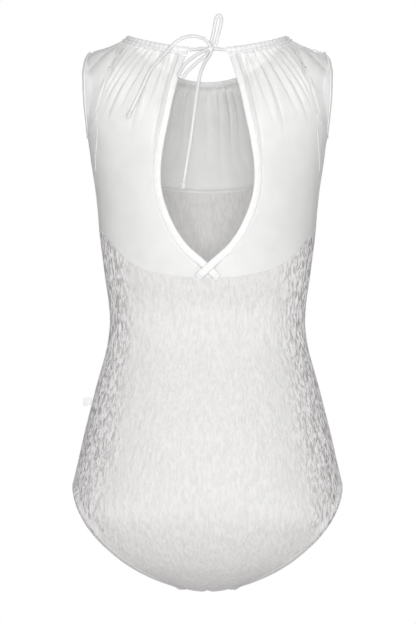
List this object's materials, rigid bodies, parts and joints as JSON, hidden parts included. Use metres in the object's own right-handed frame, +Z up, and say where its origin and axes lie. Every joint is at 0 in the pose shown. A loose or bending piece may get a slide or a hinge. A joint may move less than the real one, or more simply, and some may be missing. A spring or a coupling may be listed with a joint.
{
  "type": "velvet leotard",
  "caption": "Sleeveless crushed velvet leotard with a sheer gathered yoke, a keyhole back and a drawstring tied in a bow at the nape, filled out with no wearer.",
  "frame": {"origin": "between the two neck points, at the height of the shoulder line", "axes": "+X to the wearer's left, +Y to the back, +Z up"},
  "size_m": [0.3368, 0.2269, 0.7203],
  "materials": {
    "velvet": "crushed white velvet",
    "mesh": "sheer white stretch mesh",
    "casing": "doubled white stretch mesh",
    "binding": "smooth white stretch binding",
    "cord": "smooth white rouleau cord",
    "tab": "plain white woven tab"
  },
  "bodies": {
    "root": {"back_body": "velvet", "front_body": "velvet", "leg_hem_left": "velvet", "leg_hem_right": "velvet", "back_yoke_left": "mesh", "back_yoke_right": "mesh", "front_yoke": "mesh", "neck_casing": "casing", "keyhole_binding_left": "binding", "keyhole_binding_right": "binding", "armhole_binding_left": "binding", "armhole_binding_right": "binding", "side_label": "tab", "bow_knot": "cord", "tie_bridge_left": "cord", "tie_bridge_right": "cord", "tie_loop_upper": "cord", "tie_loop_lower": "cord", "tie_tail_left": "cord", "tie_tail_down": "cord", "tie_end_left": "cord", "tie_end_down": "cord"}
  },
  "joints": []
}
